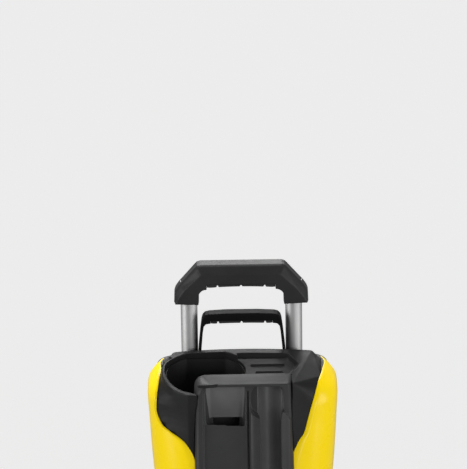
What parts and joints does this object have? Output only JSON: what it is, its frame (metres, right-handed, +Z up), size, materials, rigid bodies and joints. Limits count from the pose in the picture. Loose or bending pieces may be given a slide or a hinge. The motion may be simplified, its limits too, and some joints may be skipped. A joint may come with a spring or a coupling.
{
  "type": "pressure washer",
  "caption": "Upright electric pressure washer on two wheels with a telescopic handle, a round detergent bottle well, a spray gun pocket and a slotted lance holder on its front.",
  "frame": {"origin": "centre of the footprint on the floor", "axes": "+Z up, the front faces -Y, +X to the right seen from the front"},
  "size_m": [0.306, 0.417, 0.588],
  "materials": {
    "black_plastic": "moulded, fine satin grain",
    "grey_plastic": "moulded, satin",
    "yellow_plastic": "glossy moulded plastic",
    "aluminium_tube": "satin anodised",
    "cast_aluminium": "die cast",
    "steel": "machined",
    "brass": "machined",
    "copper": "varnished copper wire",
    "rubber": "soft matt",
    "tyre": "matt tread",
    "filter_mesh": "woven mesh"
  },
  "bodies": {
    "machine": {"base_frame": "black_plastic", "lower_front_cover": "black_plastic", "rear_cover": "black_plastic", "rear_deck": "black_plastic", "top_cover": "black_plastic", "holster_panel": "black_plastic", "carry_handle": "black_plastic", "left_tube_bush": "black_plastic", "right_tube_bush": "black_plastic", "water_inlet": "black_plastic", "cable_gland": "black_plastic", "lance_rest": "black_plastic", "bottle_well": "grey_plastic", "detergent_port": "grey_plastic", "left_guide_tube": "grey_plastic", "right_guide_tube": "grey_plastic", "capacitor": "grey_plastic", "switch_box": "grey_plastic", "left_foot": "rubber", "right_foot": "rubber", "carry_handle_insert": "rubber", "inlet_hose": "rubber", "detergent_hose": "rubber", "left_side_panel": "yellow_plastic", "right_side_panel": "yellow_plastic", "motor_housing": "cast_aluminium", "motor_end_cap": "cast_aluminium", "motor_flange": "cast_aluminium", "pump_housing": "cast_aluminium", "axle": "steel", "stator_core": "steel", "upper_bearing": "steel", "lower_bearing": "steel", "outlet_pipe": "steel", "upper_winding": "copper", "lower_winding": "copper", "pump_head": "brass", "outlet_socket": "brass", "inlet_filter": "filter_mesh"},
    "handle": {"handle_grip": "black_plastic", "handle_insert": "rubber", "left_tube": "aluminium_tube", "right_tube": "aluminium_tube", "left_tube_end": "grey_plastic", "right_tube_end": "grey_plastic"},
    "left_wheel_set": {"left_wheel": "black_plastic", "left_tyre": "tyre", "left_wheel_cap": "grey_plastic"},
    "right_wheel_set": {"right_wheel": "black_plastic", "right_tyre": "tyre", "right_wheel_cap": "grey_plastic"},
    "switch": {"switch_knob": "yellow_plastic"},
    "release_button": {"outlet_button": "grey_plastic"},
    "motor_rotor": {"rotor": "steel", "swash_plate": "steel"},
    "piston_a": {"piston_1": "steel"},
    "piston_b": {"piston_2": "steel"},
    "piston_c": {"piston_3": "steel"},
    "hook": {"cable_hook": "black_plastic"}
  },
  "joints": [
    {"name": "handle_slide", "type": "slide", "parent": "machine", "child": "handle", "axis": [0, 0, 1], "range_m": [0, 0.37]},
    {"name": "left_wheel_spin", "type": "hinge", "parent": "machine", "child": "left_wheel_set", "pos_m": [-0.134, 0.1335, 0.075], "axis": [1, 0, 0], "continuous": true},
    {"name": "right_wheel_spin", "type": "hinge", "parent": "machine", "child": "right_wheel_set", "pos_m": [0.134, 0.1335, 0.075], "axis": [1, 0, 0], "continuous": true},
    {"name": "switch_turn", "type": "hinge", "parent": "machine", "child": "switch", "pos_m": [0, -0.13, 0.215], "axis": [0, -1, 0], "range_deg": [0, 90]},
    {"name": "release_button_press", "type": "slide", "parent": "machine", "child": "release_button", "axis": [0, 0, -1], "range_m": [0, 0.003], "stiffness_N_per_m": 600},
    {"name": "rotor_spin", "type": "hinge", "parent": "machine", "child": "motor_rotor", "pos_m": [0, 0.012, 0.17], "axis": [0, 0, 1], "continuous": true},
    {"name": "piston_a_stroke", "type": "slide", "parent": "machine", "child": "piston_a", "axis": [0, 0, -1], "range_m": [0, 0.007], "stiffness_N_per_m": 2500},
    {"name": "piston_b_stroke", "type": "slide", "parent": "machine", "child": "piston_b", "axis": [0, 0, -1], "range_m": [0, 0.007], "stiffness_N_per_m": 2500},
    {"name": "piston_c_stroke", "type": "slide", "parent": "machine", "child": "piston_c", "axis": [0, 0, -1], "range_m": [0, 0.007], "stiffness_N_per_m": 2500},
    {"name": "cable_hook_turn", "type": "hinge", "parent": "machine", "child": "hook", "pos_m": [0, 0.133, 0.372], "axis": [0, 1, 0], "range_deg": [0, 180]}
  ]
}
